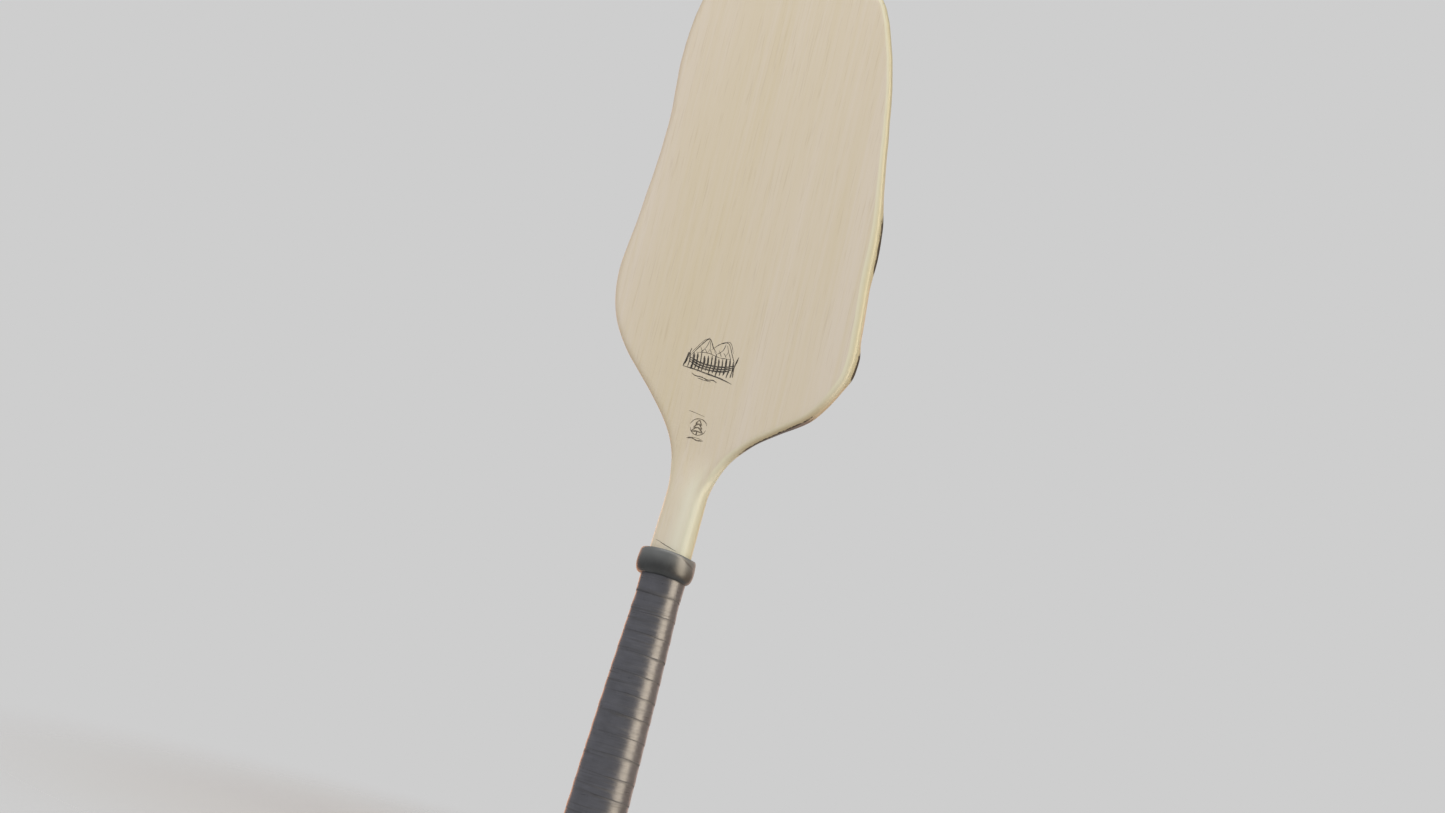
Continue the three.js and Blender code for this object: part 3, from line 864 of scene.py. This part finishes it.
def steel_material():
    """Plain steel, a little dulled in patches."""
    m = Nodes("screw_steel")
    patches = m.noise((900, 900, 900), 3.0, 0.6)
    m.set(Base_Color=m.ramp(patches, [(0.3, srgb(150, 150, 150)), (0.7, srgb(190, 189, 186))]), Metallic=1.0)
    m.set(Roughness=m.ramp(patches, [(0.3, 0.26), (0.7, 0.42)]), Normal=m.bump(patches, 0.15, 0.0001))
    return m.material


def foam_material():
    """Dark open foam."""
    m = Nodes("underlay_foam")
    cells = m.noise((1200, 1200, 1200), 3.0, 0.6)
    m.set(Base_Color=m.ramp(cells, [(0.35, srgb(40, 40, 42)), (0.65, srgb(70, 70, 72))]), Roughness=0.9)
    m.set(Normal=m.bump(cells, 0.6, 0.0003))
    return m.material


def rounded(corners, steps):
    """A closed outline whose corners (x, y, radius) are rounded by arcs."""
    made = []
    for i, (x, y, radius) in enumerate(corners):
        here = Vector((x, y))
        before = (Vector(corners[i - 1][:2]) - here).normalized()
        after = (Vector(corners[(i + 1) % len(corners)][:2]) - here).normalized()
        half = before.angle(after) / 2
        reach = radius / tan(half)
        centre = here + (before + after).normalized() * (radius / sin(half))
        start, end = here + before * reach - centre, here + after * reach - centre
        for k in range(steps + 1):
            made.append(tuple(centre + start.normalized().slerp(end.normalized(), k / steps) * radius))
    return made


def finishing_band():
    """A plain turn of tape that laps over the winding's top and, inside the collar, onto the wood."""
    low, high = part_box("finishing_band")
    lip = NECK_BOTTOM + 4 * MM
    neck = COLLAR_BOX[1].x - 4.3 * MM
    start, foot, side = handle_radius(low.z), low.z - 0.8 * MM, high.x + 0.05 * MM
    sharp = 0.02 * MM
    bm = revolved(rounded([
        (start + 1.70 * MM, foot, sharp), (start + 1.90 * MM, foot, 0.08 * MM),
        (start + 1.88 * MM, low.z + 1.5 * MM, 0.4 * MM), (side, high.z, 0.5 * MM),
        (side, lip, 0.05 * MM), (neck, lip, sharp), (neck, NECK_BOTTOM, sharp),
        (handle_radius(high.z) + 0.2 * MM, NECK_BOTTOM - 0.3 * MM, sharp),
        (start + 0.1 * MM, low.z, sharp), (start + 1.7 * MM, low.z, sharp),
    ], steps=3))
    # the lip's lower edge is marked for painted seam shade
    seam_shade = bm.verts.layers.float.new("seam_shade")
    for vert in bm.verts:
        if vert.co.z < low.z - 0.4 * MM:
            vert.co.z += noise.noise(Vector((vert.co.x * 90, vert.co.y * 90, 4.2))) * 0.7 * MM
            vert[seam_shade] = 0.8
    return bm


def collar_profile():
    """Half the collar's section: a full lower edge, an upright side and a tight upper edge."""
    bottom, top = COLLAR_BOX[0].z, COLLAR_BOX[1].z
    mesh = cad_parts["rubber_collar"].data
    bore = min(abs(v.co.x) for v in mesh.vertices if abs(v.co.y) < 1e-4)
    out, chamfer = COLLAR_BOX[1].x + 0.5 * MM, 0.4 * MM
    fullness, shoulder, hollow = 3.6 * MM, 2.8 * MM, 0.35 * MM
    turns = np.linspace(0, pi / 2, 16)
    profile = [(out - fullness * (1 - sin(a)), bottom + 7.6 * MM * (1 - cos(a))) for a in turns]
    rise = np.linspace(bottom + 8 * MM, top - shoulder, 11)
    profile += [(out - hollow * ((z - rise[0]) / (rise[-1] - rise[0])) ** 2, z) for z in rise]
    for a in turns[1:]:
        profile.append((out - hollow - 1.5 * MM * (1 - cos(a)), rise[-1] + shoulder * sin(a)))
    profile += [(bore + chamfer, top), (bore, top - chamfer)]
    return profile + [(bore, bottom + chamfer), (bore + chamfer, bottom)]


def collar_dip(x):
    """How far the collar sags towards its sides, and most at the right."""
    return (6.8 if x > 0 else 3.2) * x ** 2


def flash_line(turn, z):
    """How strongly the flash line, and the lip above it, mark a point turn degrees right of the front."""
    above = z - COLLAR_BOX[1].z + (0.9 + 0.09 * (turn - 40)) * MM
    fade = bump_between(turn, 36, 108)
    return fade * exp(-(above / (0.42 * MM)) ** 2), fade * float(ease(above / (1.2 * MM)))


def collar_relief(angle, out, z):
    """The collar's wall is thicker at its left; the flash line is sunk, and so is the lip above it."""
    if out < COLLAR_BOX[1].x - 2.5 * MM:
        return 0
    line, lip = flash_line((degrees(angle) + 90) % 360, z)
    return (-0.7 * cos(angle) - 0.4 * line - 0.45 * lip) * MM


def collar_mesh():
    """The collar, painted lighter towards its upper edge where light falls from above, and darker with
    painted shade along the flash line's groove.
    """
    bm = revolved(collar_profile(), sides=240, relief=collar_relief)
    top_light = bm.verts.layers.float.new("top_light")
    low, high = COLLAR_BOX
    for vert in bm.verts:
        line, _ = flash_line(degrees(atan2(vert.co.x, -vert.co.y)), vert.co.z)
        # painted light grows towards the top and is taken out along the flash line, leaving painted shade in
        # its groove
        vert[top_light] = float(ease((vert.co.z - low.z) / (high.z - low.z) * 1.25 - 0.3)) * (1 - line)
        vert.co.z -= collar_dip(vert.co.x)
    return bm


def add_grip():
    """The winding, the band above it and the collar, with foam on the underlay's own mesh."""
    tape, rubber = tape_material(), rubber_material()
    add_piece("grip_tape_wound", wound_tape(), tape, "grip_tape")
    add_piece("finishing_band_wound", finishing_band(), tape, "finishing_band")
    add_piece("rubber_collar_moulded", collar_mesh(), rubber, "rubber_collar", COLLAR)
    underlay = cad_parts["grip_underlay"]
    underlay.data.materials.clear()
    underlay.data.materials.append(foam_material())


add_grip()


# ---- butt cap and screws
SCREWS = ("cap_screw_front", "cap_screw_back")
SHANK_STEP = 1.7 * MM  # how much thinner than its head a screw's shank is
HEAD_DEPTH = 1.8 * MM
SHARP_ANGLE = radians(35)


def plate(bm, outer, holes):
    """Fills a flat ring of vertices round its holes."""
    rings = [outer, *holes]
    verts = [vert for ring in rings for vert in ring]
    edges, start = [], 0
    for ring in rings:
        edges += [(start + i, start + (i + 1) % len(ring)) for i in range(len(ring))]
        start += len(ring)
    flat = [vert.co.to_2d() for vert in verts]
    _, _, triangles, origins, _, _ = geometry.delaunay_2d_cdt(flat, edges, [], 1, 1e-7)
    corners = [[verts[origins[i][0]] for i in triangle] for triangle in triangles]
    centres = np.array([sum((v.co.to_2d() for v in three), Vector((0, 0))) / 3 for three in corners])
    for hole in holes:
        outside = ~inside(centres, np.array([v.co.to_2d() for v in hole]))
        corners = [three for three, keep in zip(corners, outside) if keep]
        centres = centres[outside]
    for three in corners:
        bm.faces.new(three)


def ring_of(bm, centre, wide, deep, z, sides):
    """A level oval of vertices."""
    turns = [i / sides * 2 * pi for i in range(sides)]
    places = [(centre.x + cos(a) * wide, centre.y + sin(a) * deep, z) for a in turns]
    return [bm.verts.new(place) for place in places]


def finish_solid(bm):
    """Points every face outwards and shades the solid smooth, but for its sharp edges."""
    bmesh.ops.recalc_face_normals(bm, faces=bm.faces)
    smooth_faces(bm)
    for edge in bm.edges:
        edge.smooth = edge.calc_face_angle(0) < SHARP_ANGLE
    return bm


def butt_cap():
    """A moulded cup over the handle's end, with three grooves and two countersunk holes."""
    low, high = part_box("butt_cap")
    wide, floor = high.x, WOOD_BOTTOM - 0.3 * MM
    cavity = wood_extent(WOOD_BOTTOM + 0.1 * MM)[1] + 0.7 * MM
    corner, chamfer, groove_depth = 3.2 * MM, 0.3 * MM, 0.45 * MM
    outline = [(wide - corner + corner * sin(a), low.z + corner - corner * cos(a))
               for a in np.linspace(0, pi / 2, 9)]
    for groove in range(3):
        z = low.z + (4.9 + 2.4 * groove) * MM
        outline += [(wide, z - 0.55 * MM), (wide - groove_depth, z - 0.3 * MM)]
        outline += [(wide - groove_depth, z + 0.3 * MM), (wide, z + 0.55 * MM)]
    outline += [(wide, high.z - 1 * MM), (wide - chamfer, high.z - chamfer), (wide - 1 * MM, high.z)]
    outline += [(cavity + chamfer, high.z), (cavity, high.z - chamfer), (cavity, floor)]
    bm = bmesh.new()
    rings = [ring_of(bm, Vector((0, 0)), out, out * OVAL, z, 112) for out, z in outline]
    join_rings(bm, rings)
    wells = []
    for name in SCREWS:
        first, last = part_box(name)
        centre, head = (first + last) / 2, last.x + 0.3 * MM
        shank = head - SHANK_STEP
        steps = [(head, low.z), (head, first.z), (shank, first.z + HEAD_DEPTH), (shank, floor)]
        well = [ring_of(bm, centre, radius, radius, z, 32) for radius, z in steps]
        join_rings(bm, well)
        wells.append(well)
    plate(bm, rings[0], [well[0] for well in wells])
    plate(bm, rings[-1], [well[-1] for well in wells])
    return finish_solid(bm)


def screw(name):
    """A countersunk screw with a cross recess and a threaded shank."""
    low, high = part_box(name)
    centre, head, tip = (low + high) / 2, high.x, high.z - 1 * MM
    shank, pitch, thread, bevel = head - SHANK_STEP, 0.9 * MM, 0.3 * MM, 0.12 * MM
    steps = [(head - bevel, low.z), (head, low.z + bevel), (shank, low.z + HEAD_DEPTH)]
    thread_start = low.z + 2.4 * MM
    for i in range(int((tip - thread_start) / pitch)):
        z = thread_start + i * pitch
        steps += [(shank - thread, z), (shank, z + pitch / 2)]
    steps += [(shank - thread, tip), (0.1 * MM, high.z)]
    bm = bmesh.new()
    rings = [ring_of(bm, centre, radius, radius, z, 32) for radius, z in steps]
    join_rings(bm, rings)
    bm.faces.new(rings[-1])
    arm, width, recess = 1.75 * MM, 0.5 * MM, 1.1 * MM
    quarter = [(arm, -width), (arm, width), (width, width)]
    crosses = []
    for z, scale in ((low.z, 1.0), (low.z + recess, 0.6)):
        cross = []
        for c, s in [(1, 0), (0, 1), (-1, 0), (0, -1)]:
            cross += [(x * c - y * s, x * s + y * c) for x, y in quarter]
        crosses.append([bm.verts.new((centre.x + x * scale, centre.y + y * scale, z)) for x, y in cross])
    join_rings(bm, crosses)
    plate(bm, crosses[1], [])
    plate(bm, rings[0], [crosses[0]])
    return finish_solid(bm)


def add_butt():
    """The cap on the end of the handle and the two screws that hold it."""
    steel = steel_material()
    add_piece("butt_cap_moulded", butt_cap(), plastic_material(), "butt_cap")
    for name in SCREWS:
        add_piece(name + "_cut", screw(name), steel, name)


add_butt()


# ---- the floor
FLOOR_RADIUS = 1.2


def add_floor():
    """A pale disc under the butt that takes the shadow and fades into the room around it."""
    bm = bmesh.new()
    bmesh.ops.create_circle(bm, cap_ends=True, segments=96, radius=FLOOR_RADIUS)
    floor = new_object("floor", bm)
    floor.location.z = cad_box[0].z - 0.2 * MM
    m = Nodes("pale_floor")
    place = m.add("VectorMath", {"Vector": m.coordinates}, operation="LENGTH").outputs["Value"]
    fade = m.ramp(m.math("DIVIDE", place, FLOOR_RADIUS), [(0.10, 1.0), (0.42, 0.0)], "EASE")
    m.set(Base_Color=(0.62, 0.62, 0.62), Roughness=0.9, Alpha=fade, Specular_IOR_Level=0.2)
    floor.data.materials.append(m.material)


add_floor()


# ---- printed marks
INK_SINK = 0.02  # mm that a stroke reaches into the wood
INK_RISE = (0.03, 0.0015)  # mm that the first stroke stands proud, and each later one more


def front_surface(x, z):
    """The y of the wood's front face, in metres."""
    return -face_at(x, z, half_width(z) - abs(x - centre_x(z)))


def stroke(bm, points, width, lift):
    """A brush stroke through (x, z) points in mm, laid on the front face, thinner at its ends."""
    route = catmull_rom(np.array(points, float), 6) if len(points) > 2 else np.linspace(*points, 9)
    along = np.gradient(route, axis=0)
    across = np.stack([-along[:, 1], along[:, 0]], 1) / np.linalg.norm(along, axis=1, keepdims=True)
    rows = []
    for i, (point, side) in enumerate(zip(route, across)):
        share = i / (len(route) - 1)
        shake = noise.noise(Vector((point[0] * 0.7, point[1] * 0.7, width * 9)))
        half = width / 2 * min(1, 0.35 + 4 * min(share, 1 - share)) * (1 + 0.5 * shake)
        middle = point + side * shake * 0.12
        row = []
        for offset, height in ((-half, lift), (half, lift), (half, -INK_SINK), (-half, -INK_SINK)):
            x, z = (middle + side * offset) * MM
            row.append(bm.verts.new((x, front_surface(x, z) - height * MM, z)))
        rows.append(row)
    join_rings(bm, rows)
    bm.faces.new(rows[0])
    bm.faces.new(rows[-1])


def arc(centre, radius, start, end):
    """A slightly flattened arc from the start to the end angle, in degrees."""
    angles = np.radians(np.linspace(start, end, 14))
    return [(centre[0] + radius * cos(a), centre[1] + 0.95 * radius * sin(a)) for a in angles]


def drawing(strokes, middle=(0, 0), narrowing=1.0):
    """The mesh of (points, width) strokes, whose points are in mm from the drawing's middle."""
    bm = bmesh.new()
    for i, (points, width) in enumerate(strokes):
        placed = [(middle[0] + x * narrowing, middle[1] + z) for x, z in points]
        stroke(bm, placed, width, INK_RISE[0] + INK_RISE[1] * i)
    bmesh.ops.recalc_face_normals(bm, faces=bm.faces)
    return bm


def ink_material(name, ink, worn_ink_and_seam_shade):
    """Ink that has rubbed off the wood's high grain in places."""
    m = Nodes(name)
    grain = m.noise((900, 900, 120), 4.0, 0.7)
    m.set(Base_Color=m.mix(m.ramp(grain, [(0.44, 0.0), (0.66, 1.0)]), ink, worn_ink_and_seam_shade), Roughness=0.6)
    m.set(Normal=m.bump(grain, 0.2, 0.00005))
    return m.material


def canoe_mark():
    """Hills over a canoe on the water, all in loose brush strokes."""
    hills = [
        ([(-15, -1), (-9, 8), (-5, 11.5), (-1, 6.5), (2, 4)], 0.55),
        ([(-15.5, 0), (-9.5, 9), (-5, 12.6)], 0.3),
        ([(-2, 5), (4, 10.5), (9, 11), (13, 5), (16.5, -1)], 0.5),
        ([(4, 10), (9.5, 12), (14, 5.5)], 0.3),
        ([(-5, 11), (-6, 6), (-9, 2)], 0.35),
        ([(-5, 11), (-3, 6), (-4, 3)], 0.3),
        ([(7, 10.5), (6, 6), (2, 2.5)], 0.35),
        ([(8, 10), (10, 6), (9, 3)], 0.3),
        ([(-12, 1.5), (-4, 2.6), (5, 1.2), (13, 1.6)], 0.4),
    ]
    hull = []
    for plank in range(3):
        low = -2.6 - plank * 1.5
        hull.append(([(-16.5 + plank * 0.7, low + 0.8), (-8, low - 1.7), (1, low - 2.4), (10, low - 1.5),
                      (17.5 - plank * 0.8, low + 1.0)], 0.9))
    for rib in range(13):
        at, top = -15.4 + rib * 2.6, 0.4 + rib * 5 % 4 * 0.6
        foot = -8.4 - rib * 3 % 5 * 0.4 - rib * 0.1
        hull.append(([(at - 0.5, top), (at + 0.5, -4.5), (at + 0.2, foot)], (0.75, 1.25, 0.95)[rib % 3]))
    trees = []
    for tree in range(7):
        at = -10 + tree * 3.4
        trees.append(([(at, 5.6 - tree % 2), (at + 1.6, 3.2), (at + 2.6, 1.9)], 0.3))
    ends_and_water = [
        ([(-17, 0.6), (-17.2, -3), (-18.4, -8.8)], 0.9),
        ([(-15.8, 3.5), (-16.4, -1), (-17.2, -7)], 0.55),
        ([(18.2, 4.2), (17, -3), (17.6, -9.5)], 0.7),
        ([(-18.6, -8.8), (-9, -9.4), (0, -10.6), (9, -11.6), (18.4, -13.6)], 0.8),
        ([(-11, -12), (-8, -13.2), (-3, -13.4), (1, -14.3), (5, -13.8), (8, -14.8)], 0.55),
        ([(-6, -14.4), (-1, -14.9), (4, -15)], 0.35),
    ]
    return drawing(hills + hull + trees + ends_and_water, middle=(-7.3, 238.5), narrowing=0.93)


def pine_mark():
    """A little pine in a ring, with a ripple under it and a pencil tick above."""
    strokes = [(arc((0, 0), 5.6, 20, 170), 0.55), (arc((0.3, -0.2), 5.2, 190, 350), 0.5)]
    for tier in range(3):
        low, wide = -3.2 + tier * 2.3, 3.9 - tier * 0.9
        strokes.append(([(-wide, low), (-0.3, low + 2.9), (wide, low)], 0.8))
        strokes.append(([(-wide + 0.4, low - 0.2), (0, low + 0.5), (wide - 0.3, low - 0.1)], 0.9))
    strokes += [
        ([(0, -3), (0.1, -5.2)], 0.9),
        ([(-5.5, -8.2), (-2, -7.5), (1.5, -8.4), (5.5, -7.9)], 0.8),
        ([(-4.5, -7.4), (0, -6.9), (4.5, -7.3)], 0.3),
        ([(-9, 9), (-3, 8.2), (2.4, 7.2)], 0.3),
    ]
    return drawing(strokes, middle=(-3.4, 193.8))


def neck_scratch():
    """Two fine scratches across the neck, just above the collar."""
    return drawing([([(-9.4, 119.4), (-5, 118.4), (-0.5, 117), (3, 116.3)], 0.2),
                    ([(-4.6, 118.1), (0.4, 116.6), (6.4, 115.1)], 0.3)])


def add_marks():
    dark_ink = ink_material("dark_ink", srgb(40, 37, 34), srgb(110, 100, 86))
    brown_ink = ink_material("brown_ink", srgb(88, 78, 64), srgb(146, 132, 112))
    add_piece("front_mark_canoe", canoe_mark(), dark_ink)
    add_piece("front_mark_pine", pine_mark(), brown_ink)
    add_piece("neck_scratch", neck_scratch(), dark_ink)


add_marks()
